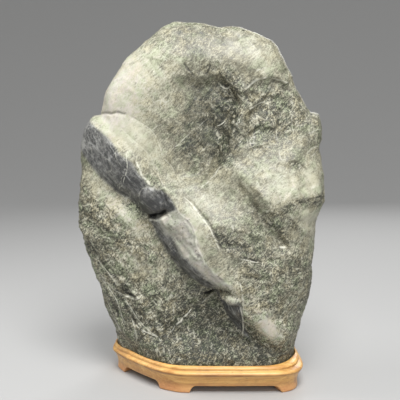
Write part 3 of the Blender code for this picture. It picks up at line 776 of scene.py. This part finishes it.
def weather(stone):
    """Gives the stone its fine relief: swells, layers, grain, broken flakes, bumps, scarps and cracks."""
    mesh = stone.data
    here = Surface(mesh)
    points, sheets = here.points, here.sheets
    x, _, z = points.T
    held = smooth(SEAT_TOP + 1, SEAT_TOP + 7, z)
    coarse = 0.3 + 0.7 * here.rough

    height = 0.7 * cloud(points, 26, 2, 41)
    height += 1.3 * (ridges(sheets, (44, 16, 9), 3, 51) - 0.5) * coarse
    height += 0.45 * cloud(sheets, (9, 5, 3.6), 2, 61) * coarse
    height += 0.28 * wave(points, 2.6, 71) * coarse
    height += 4.5 * (flakes(sheets, (34, 22, 15), 5, 101) - 0.5) * here.rough**1.5
    height += 2.2 * (flakes(points, (13, 13, 9), 4, 111) - 0.5) * here.rough**2
    height += 0.9 * here.crest * wave(points, (8, 8, 5), 81)
    height += here.cliff * smooth(0.34, 0.42, here.share) * cloud(points, (8, 14, 11), 3, 85)
    height += lumps(BUMPS, x, z) * (1 + 0.5 * wave(points, 4.5, 87)) * here.front
    for rise, reach, *line in LEDGES:
        above, ends = near_line(line, *here.wavering, 3.5 * reach)
        above = above if rise > 0 else -above
        step = smooth(-0.8, 0.8, above) * np.exp(-np.maximum(above, 0) / reach)
        height += abs(rise) * step * ends * here.front * (1 + 0.5 * wave(points, 12, 97))
    for half_width, rise, _, *line in STROKES:
        distance, ends = near_line(line, *here.wavering, 4 * half_width + 2)
        core = np.exp(-((distance / max(half_width, 0.9)) ** 2)) * ends
        height += rise * core * here.front
    move(mesh, points + here.normals * (height * held)[:, None])


def keep(mesh, name, values):
    """Keeps a value for each point as an attribute that a material can read."""
    layer = mesh.attributes.new(name, "FLOAT", "POINT")
    layer.data.foreach_set("value", values.astype(np.float32))


def paint(stone):
    """Keeps what the stone's material needs as attributes, and brings the mesh to metres."""
    mesh = stone.data
    here = Surface(mesh)
    points, sheets = here.points, here.sheets
    tone = here.tone + 0.14 * cloud(points, 34, 3, 21)
    tone += 0.18 * (ridges(sheets, (46, 18, 7), 3, 31) - 0.55)
    # A painted highlight along the cliff's crest.
    tone = np.clip(tone + 0.22 * here.crest, 0, 1.35)

    # Each line is kept as its strength near it and a signed distance, which stays sharp across faces.
    strength = np.zeros(len(points))
    offset = np.full(len(points), 4.0)
    for half_width, _, light, *line in STROKES:
        signed, ends = near_line(line, *here.wavering, 8)
        closer = np.abs(signed) * 0.8 / half_width < np.abs(offset)
        offset[closer] = signed[closer] * 0.8 / half_width
        reach = smooth(3.6, 2.4, np.abs(signed)) * ends * here.front
        stronger = closer & (reach > 0)
        strength[stronger] = (light * reach)[stronger]
    offset = np.clip(offset, -4, 4)

    move(mesh, points * MM)
    keep(mesh, "tone", tone)
    keep(mesh, "rough", here.rough)
    keep(mesh, "cliff", here.dark_face_and_shade_share)
    keep(mesh, "strength", strength)
    keep(mesh, "offset", offset)
    mesh.shade_smooth()


# --- the stand
def foot_shares(outline, lengths):
    """Where each foot begins and ends, as lengths along the outline."""

    def nearest(point):
        return lengths[np.argmin(np.hypot(*(outline - point).T))]

    return [(nearest(start), nearest(end)) for start, end in FEET]


def bottom_height(length, spans, total):
    """Height of the apron's lower edge: the floor at a foot, and an arch between the feet."""
    height = APRON_BOTTOM
    for start, end in spans:
        inside = (length - start) % total
        span = (end - start) % total
        if inside <= span:
            return 0
        gap = min(inside - span, total - inside)
        if gap < SPANDREL:
            height = min(height, APRON_BOTTOM * sqrt(1 - (1 - gap / SPANDREL) ** 2.2))
    return height


def rim_widths(outline, outward):
    """How far the main bead lies outside each point of the seat's outline."""
    centre = np.array((4, 4))
    bead = radius_around(BEAD, centre)
    widths = np.full(len(outline), 7.0)
    for _ in range(12):
        reached = outline + outward * widths[:, None] - centre
        short = bead(np.arctan2(reached[:, 1], reached[:, 0])) - np.hypot(*reached.T)
        widths = widths + short
    return widths


def even_points(corners, count):
    """A polyline's length shared out evenly between count points."""
    corners = np.array(corners, float)
    lengths = np.concatenate([[0], np.cumsum(np.hypot(*np.diff(corners, axis=0).T))])
    where = np.linspace(0, lengths[-1], count)
    return np.stack([np.interp(where, lengths, corners[:, k]) for k in range(2)], axis=1)


def stand_section(width, low):
    """The stand's section, (offset, height) points, with every edge softened."""
    foot = width - APRON_INSET
    spread = FOOT_SPREAD * (1 - low / APRON_BOTTOM)
    middle = 0.5 * (low + APRON_BOTTOM)
    low = min(low, APRON_BOTTOM - 0.2)
    wall = even_points([(SEAT_GAP, SEAT_FLOOR), (SEAT_GAP, SEAT_TOP - 0.4), (SEAT_GAP + 0.4, SEAT_TOP)], 16)
    rim = [(SEAT_GAP + 0.4, SEAT_TOP)] + [(share * width, height) for share, height in RIM_PROFILE]
    cove = [(width - inset, height) for inset, height in COVE_PROFILE] + [(foot, APRON_BOTTOM)]
    curve = even_points(curve_through(rim + cove, 8, closed=False), 48)
    apron = [(foot, APRON_BOTTOM), (foot + 0.3 * spread, middle - 0.1), (foot + spread, low)]
    apron = even_points(apron + [(foot - FOOT_DEPTH, low), (foot - FOOT_DEPTH - 1, APRON_BOTTOM)], 26)
    section = np.concatenate([wall, curve[1:], apron[1:]])
    for _ in range(2):
        section[1:-1] = 0.25 * section[:-2] + 0.5 * section[1:-1] + 0.25 * section[2:]
    return section


def fine_stand():
    """The stand's form in a fine mesh, in millimetres, with softened edges."""
    outline = curve_through(SEAT, 40, closed=True)
    steps = np.hypot(*(np.roll(outline, -1, axis=0) - outline).T)
    lengths = np.concatenate([[0], np.cumsum(steps)[:-1]])
    total = steps.sum()
    tangents = np.roll(outline, -12, axis=0) - np.roll(outline, 12, axis=0)
    tangents /= np.hypot(*tangents.T)[:, None]
    outward = np.stack([tangents[:, 1], -tangents[:, 0]], axis=1)
    widths = rim_widths(outline, outward)
    spans = foot_shares(outline + outward * (widths - APRON_INSET)[:, None], lengths)

    stations = np.arange(0, total - 0.5, 1.1)
    sections = []
    for station in stations:
        width = np.interp(station, lengths, widths, period=total)
        sections.append(stand_section(width, bottom_height(station, spans, total)))
    sections = np.array(sections)
    flat = []
    for base, away in zip(outline.T, outward.T):
        base, away = (np.interp(stations, lengths, values, period=total) for values in (base, away))
        flat.append(base[:, None] + away[:, None] * sections[:, :, 0])
    points = np.stack(flat + [sections[:, :, 1]], axis=2)

    count, around = points.shape[:2]
    index = np.arange(count * around).reshape(count, around)
    after = np.roll(index, -1, axis=0)
    walls = np.stack([index[:, :-1], index[:, 1:], after[:, 1:], after[:, :-1]], axis=2).reshape(-1, 4)
    # Seen from above, the stations run anticlockwise and the section runs up the seat wall and outwards.
    faces = walls[:, ::-1].tolist() + [index[::-1, 0].tolist(), index[:, -1].tolist()]
    mesh = bpy.data.meshes.new("stand_surface")
    mesh.from_pydata(points.reshape(-1, 3).tolist(), [], faces)
    mesh.update()
    return new_object("stand_surface", mesh)


def carve(stand):
    """Gives the wood its grain and small tool marks, and keeps where dirt and painted shade lie as an
    attribute.
    """
    mesh = stand.data
    points = read(mesh)
    mark = 0.1 * wave(points, (16, 16, 5), 201) + 0.05 * wave(points, (26, 2.2, 2.2), 211)
    dent = smooth(0.72, 0.95, wave(points, 6, 221)) * 0.25
    z = points[:, 2]
    inside = smooth(11, 17, z)
    held = smooth(0.2, 1.6, z) * smooth(SEAT_TOP - 0.2, SEAT_TOP - 1.6, z)
    points = points + read(mesh, "normal") * ((mark - dent) * np.clip(held, 0.15, 1))[:, None]
    z = points[:, 2]
    dirt_and_shade = sum(amount * np.exp(-(((z - height) / reach) ** 2)) for height, reach, amount in DIRT_AND_SHADE)
    dirt_and_shade = np.clip(dirt_and_shade * (0.75 + 0.5 * wave(points, 11, 231)) * (0.4 + 0.6 * inside), 0, 1)
    move(mesh, points * MM)
    keep(mesh, "dirt_and_shade", dirt_and_shade)
    mesh.shade_smooth()


# --- finishes
class Nodes:
    """A short way to write a node material."""

    def __init__(self, name):
        self.material = bpy.data.materials.new(name)
        self.material.use_nodes = True
        self.tree = self.material.node_tree
        self.shader = self.tree.nodes["Principled BSDF"]

    def add(self, kind, inputs=(), **settings):
        node = self.tree.nodes.new(kind)
        for key, value in settings.items():
            setattr(node, key, value)
        for key, value in dict(inputs).items():
            self.set(node, key, value)
        return node

    def set(self, node, key, value):
        socket = node.inputs[key]
        if isinstance(value, bpy.types.NodeSocket):
            self.tree.links.new(value, socket)
        else:
            socket.default_value = (*value, 1) if socket.type == "RGBA" else value

    def finish(self, inputs):
        """Sets the shader's inputs and gives the material."""
        for key, value in inputs.items():
            self.set(self.shader, key, value)
        return self.material

    def attribute(self, name):
        return self.add("ShaderNodeAttribute", attribute_name=name).outputs["Fac"]

    def math(self, operation, *values, clamp=False):
        node = self.add("ShaderNodeMath", dict(enumerate(values)), operation=operation, use_clamp=clamp)
        return node.outputs[0]

    def times(self, first, second, clamp=False):
        return self.math("MULTIPLY", first, second, clamp=clamp)

    def line(self, value, slope, start, clamp=False):
        """The value times slope, plus start."""
        return self.math("MULTIPLY_ADD", value, slope, start, clamp=clamp)

    def centred(self, value):
        return self.math("SUBTRACT", value, 0.5)

    def fold(self, value):
        return self.math("ABSOLUTE", value)

    def fit(self, value, low, high):
        """Maps low..high to 0..1, easing at both ends."""
        inputs = {"Value": value, "From Min": low, "From Max": high}
        return self.add("ShaderNodeMapRange", inputs, interpolation_type="SMOOTHSTEP").outputs[0]

    def mix(self, share, first, second, blend="MIX"):
        node = self.add("ShaderNodeMix", data_type="RGBA", blend_type=blend, clamp_factor=True)
        self.set(node, 0, share)
        self.set(node, 6, first)
        self.set(node, 7, second)
        return node.outputs[2]

    def coat(self, colour, layers):
        """The colour under layers, each given by where it lies, how strong it is, and its colour."""
        for where, strength, shade in layers:
            colour = self.mix(self.times(where, strength), colour, shade)
        return colour

    def bump(self, height, strength, distance):
        inputs = {"Height": height, "Strength": strength, "Distance": distance}
        return self.add("ShaderNodeBump", inputs).outputs[0]

    def place(self, turn=(0, 0, 0), scale=(1, 1, 1)):
        """The object's own coordinates, turned and then stretched."""
        source = self.add("ShaderNodeTexCoord").outputs["Object"]
        turned = self.add("ShaderNodeMapping", {"Vector": source, "Rotation": turn})
        scaled = self.add("ShaderNodeMapping", {"Vector": turned.outputs[0], "Scale": scale})
        return scaled.outputs[0]

    def noise(self, where, size, detail=3, roughness=0.5, distortion=0):
        """Noise whose features measure about size, in millimetres."""
        inputs = {"Vector": where, "Scale": 1000 / size, "Detail": detail}
        inputs.update({"Roughness": roughness, "Distortion": distortion})
        return self.add("ShaderNodeTexNoise", inputs).outputs["Fac"]


def dipping(degrees):
    """The turn that lets stretched noise dip down to the right."""
    return (0, radians(degrees), 0)


def stone_finish():
    """Dark green stone, waxed and handled: pale crystals in a dark ground, white veins, black cracks, with
    painted sheen, highlights and shade.
    """
    n = Nodes("stone")
    names = ("tone", "rough", "cliff", "strength", "offset")
    tone, rough, cliff, strength, offset = (n.attribute(name) for name in names)
    plain = n.place()
    foliated = n.place(dipping(FOLIATION_DIP), (0.34, 0.7, 1))

    crystals = n.noise(foliated, 1.5, 2, 0.75)
    flakes = n.noise(plain, 1.15, 2, 0.75)
    clumps = n.noise(plain, 5, 3, 0.6)
    blotches = n.noise(foliated, 16, 2)
    streaks = n.noise(foliated, 4.5, 3, 0.6, 0.4)
    scratches = n.noise(n.place(dipping(SCRATCH_DIP), (0.22, 0.7, 1)), 2.2, 3, 0.65)
    grain = n.math("ADD", n.centred(crystals), n.centred(flakes))

    # How light the stone is at each point, painted light and shade included, from 0 for its darkest ground
    # to 1.4 for its whitest.
    strongly = n.times(n.line(rough, 2.5, 0.8), n.line(cliff, -0.3, 1))
    level = n.line(grain, strongly, tone)
    level = n.line(n.centred(clumps), n.line(rough, 0.6, 0.35), level)
    level = n.line(n.centred(blotches), 0.6, level)
    level = n.line(n.centred(streaks), 0.8, level)
    level = n.math("ADD", level, n.times(n.centred(scratches), n.times(cliff, 1.3)))

    ground = n.mix(n.fit(level, -0.2, 0.45), (0.026, 0.028, 0.02), (0.158, 0.151, 0.107))
    ground = n.mix(n.fit(level, 0.35, 1.1), ground, (0.43, 0.42, 0.318))
    # Above 1.1 the colour turns to the whitish tint of the lamps' sheen on the waxed stone: painted sheen.
    ground = n.mix(n.fit(level, 1.1, 1.45), ground, (0.5, 0.462, 0.408))
    tint = n.noise(plain, 11, 1.5)
    browner = n.times(n.fit(tint, 0.48, 0.66), n.line(rough, 0.4, 0.15))
    greener = n.times(n.fit(tint, 0.52, 0.34), n.line(rough, 0.4, 0.25))
    ground = n.mix(browner, ground, (1.1, 1.01, 0.8), "MULTIPLY")
    ground = n.mix(greener, ground, (0.86, 1.02, 0.82), "MULTIPLY")
    # The dark face of the cliff and the knob, its darkness partly the stone's own and partly painted shade.
    dark_face_and_shade = n.mix(n.fit(level, 0, 0.9), (0.042, 0.043, 0.045), (0.34, 0.34, 0.325))
    colour = n.mix(n.times(cliff, 0.9), ground, dark_face_and_shade)

    slivers = n.place(dipping(76), (0.3, 0.7, 1))
    speck = n.times(n.fit(n.noise(slivers, 1.4, 1), 0.64, 0.72), n.fit(clumps, 0.42, 0.6))
    pit = n.fit(n.noise(foliated, 1.9, 2), 0.37, 0.27)
    # The stone's own hair veins.
    hair = n.fold(n.centred(n.noise(foliated, 24, 2, 0.5, 0.6)))
    hair = n.times(n.fit(hair, 0.006, 0.0015), n.fit(n.noise(plain, 17, 2), 0.52, 0.62))
    # Fine scratches up the smooth face of the cliff, and the curled edges of small chips elsewhere, with a
    # painted shadow beside each and a painted highlight on its edge.
    nicks = n.centred(n.noise(n.place(dipping(SCRATCH_DIP), (0.2, 0.7, 1)), 9, 2))
    nicks = n.times(n.fit(n.fold(nicks), 0.03, 0.01), n.fit(n.noise(plain, 13, 2), 0.48, 0.62))
    curls = n.centred(n.noise(n.place(dipping(-42), (0.6, 0.8, 1)), 5.6, 1.5, 0.5, 1))
    present = n.times(n.fit(n.noise(plain, 5, 1), 0.53, 0.6), n.fit(rough, 0.3, 0.8))
    shaded = n.times(n.fit(n.fold(n.math("ADD", curls, 0.1)), 0.07, 0.03), present)
    bright = n.times(n.fit(n.fold(curls), 0.05, 0.02), present)
    # The listed lines, with ragged edges.
    ragged = n.line(n.centred(flakes), 1.6, n.fold(offset))
    broken = n.times(n.fit(ragged, 1, 0.35), n.fit(n.noise(plain, 4, 2), 0.3, 0.5))
    light = n.times(broken, n.math("MAXIMUM", strength, 0), clamp=True)
    # Negative strengths darken the cracks: painted shadow.
    dark = n.times(n.fit(ragged, 1.6, 0.5), n.times(strength, -1.3), clamp=True)
    layers = [
        (speck, n.line(rough, 0.7, 0.15), (0.6, 0.585, 0.46)),
        (pit, n.line(rough, 0.6, 0.3), (0.018, 0.018, 0.015)),
        (hair, 0.55, (0.6, 0.59, 0.5)),
        (nicks, n.times(cliff, 0.6), (0.42, 0.42, 0.4)),
        (shaded, 0.5, (0.02, 0.02, 0.016)),
        (bright, 0.42, (0.64, 0.625, 0.5)),
        (light, 0.9, (0.74, 0.73, 0.62)),
        (dark, 1, (0.012, 0.012, 0.01)),
    ]

    gloss = n.line(grain, 0.3, n.line(rough, 0.22, 0.42))
    bumps = n.line(streaks, 0.5, n.math("ADD", n.times(crystals, 0.6), n.times(flakes, 0.4)))
    shader = {
        "Base Color": n.coat(colour, layers),
        "Roughness": n.line(cliff, -0.06, gloss, clamp=True),
        "Specular IOR Level": 0.6,
        "Normal": n.bump(bumps, n.line(rough, 0.55, 0.35), 0.0009),
    }
    return n.finish(shader)


def wood_finish():
    """Orange-brown hardwood under a thin varnish, its grain along the stand's length."""
    n = Nodes("wood")
    along = n.place((0, 0.03, 0.05), (0.045, 1, 1))
    plain = n.place()
    bands = n.noise(along, 7, 4, 0.6, 0.8)
    fibres = n.noise(along, 1.3, 4, 0.65)
    blotches = n.noise(plain, 14, 3, 0.55)
    pores = n.fit(n.noise(n.place(scale=(0.12, 1, 1)), 0.55, 2), 0.36, 0.26)
    height = n.add("ShaderNodeSeparateXYZ", {"Vector": plain}).outputs["Z"]

    colour = n.mix(n.fit(bands, 0.35, 0.66), (0.6, 0.29, 0.075), (0.81, 0.48, 0.145))
    layers = [
        (n.fit(fibres, 0.42, 0.72), 0.5, (0.9, 0.6, 0.22)),
        (n.fit(fibres, 0.46, 0.25), 0.5, (0.26, 0.09, 0.025)),
        (n.fit(blotches, 0.5, 0.75), 0.35, (0.26, 0.1, 0.035)),
        (pores, 0.75, (0.1, 0.035, 0.012)),
        (n.fit(height, 0.015, 0.002), 0.55, (0.56, 0.235, 0.115)),
        # dirt, and painted shade in the grooves and along the apron's lower edge
        (n.attribute("dirt_and_shade"), 0.78, (0.115, 0.03, 0.01)),
    ]
    shader = {
        "Base Color": n.coat(colour, layers),
        "Roughness": n.line(fibres, 0.25, 0.34),
        "Coat Weight": 0.35,
        "Coat Roughness": 0.24,
        "Normal": n.bump(n.line(pores, -0.8, fibres), 0.35, 0.0004),
    }
    return n.finish(shader)


# --- the room
# The lamps: name, place, the point they face, width and height, power.
LAMPS = [
    ("overhead", (0.1, -0.5, 1.05), (0, 0, 0.18), (0.45, 0.45), 13),
    ("left", (-0.75, 0.05, 0.75), (0, 0, 0.18), (0.4, 0.4), 3.5),
    ("front", (0.3, -1.3, 0.58), (0, 0, 0.16), (0.9, 0.5), 4.7),
    ("rim", (0.4, 1, 0.75), (0.4, 0, 0.75), (0.6, 0.6), 6.5),
]
SKY_STRENGTH = 0.38


def studio():
    """A pale floor that curves up into a low wall all round."""
    flat, bend, sides = 1, 1.4, 96
    rings = [(0.1, 0), (0.5, 0), (flat, 0)]
    rings += [(flat + bend * sin(a), bend - bend * cos(a)) for a in np.linspace(0.05, 1.2, 24)]
    turns = np.linspace(0, 2 * pi, sides, endpoint=False)
    points = [(r * cos(a), r * sin(a), z) for r, z in rings for a in turns]
    faces = [list(range(sides))]
    for k in range(len(rings) - 1):
        for j in range(sides):
            here, after = k * sides + j, k * sides + (j + 1) % sides
            faces.append([here, here + sides, after + sides, after])
    mesh = bpy.data.meshes.new("studio_floor")
    mesh.from_pydata(points, [], faces)
    mesh.shade_smooth()
    floor = new_object("studio_floor", mesh)
    mesh.materials.append(Nodes("paper").finish({"Base Color": (0.43, 0.43, 0.425), "Roughness": 0.8}))


def aim(thing, place, target):
    """Puts a lamp or a camera at a place and turns it to its target."""
    thing.location = place
    thing.rotation_euler = (Vector(target) - Vector(place)).to_track_quat("-Z", "Y").to_euler()


def softbox(name, place, target, size, power):
    light = bpy.data.lights.new(name, "AREA")
    light.shape = "RECTANGLE"
    light.size, light.size_y = size
    light.energy = power
    aim(new_object(name, light), place, target)


def camera(lens, target, distance, rise):
    """Looks at the target from the front, from rise degrees above the level."""
    view = bpy.data.cameras.new("camera")
    view.lens = lens
    view.sensor_width = 36
    eye = new_object("camera", view)
    tilt = radians(rise)
    back = Vector((0, -cos(tilt), sin(tilt)))
    aim(eye, Vector(target) + distance * back, target)
    bpy.context.scene.camera = eye


stone_piece = rough_stone()
weather(stone_piece)
thin_out(stone_piece)
paint(stone_piece)
stone_piece.data.materials.append(stone_finish())
stand_piece = fine_stand()
carve(stand_piece)
stand_piece.data.materials.append(wood_finish())
for piece, node, slot in ((stone_piece, "stone", "stone"), (stand_piece, "stand", "wood")):
    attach(piece, "root")
    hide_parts(node)

studio()
for lamp in LAMPS:
    softbox(*lamp)
bpy.context.scene.view_settings.view_transform = "Standard"
world = bpy.context.scene.world or bpy.data.worlds.new("world")
bpy.context.scene.world = world
world.use_nodes = True
sky = world.node_tree.nodes["Background"]
sky.inputs["Color"].default_value = (1, 1, 1, 1)
sky.inputs["Strength"].default_value = SKY_STRENGTH
camera(lens=63, target=(-0.001, 0, 0.185), distance=0.7, rise=10)
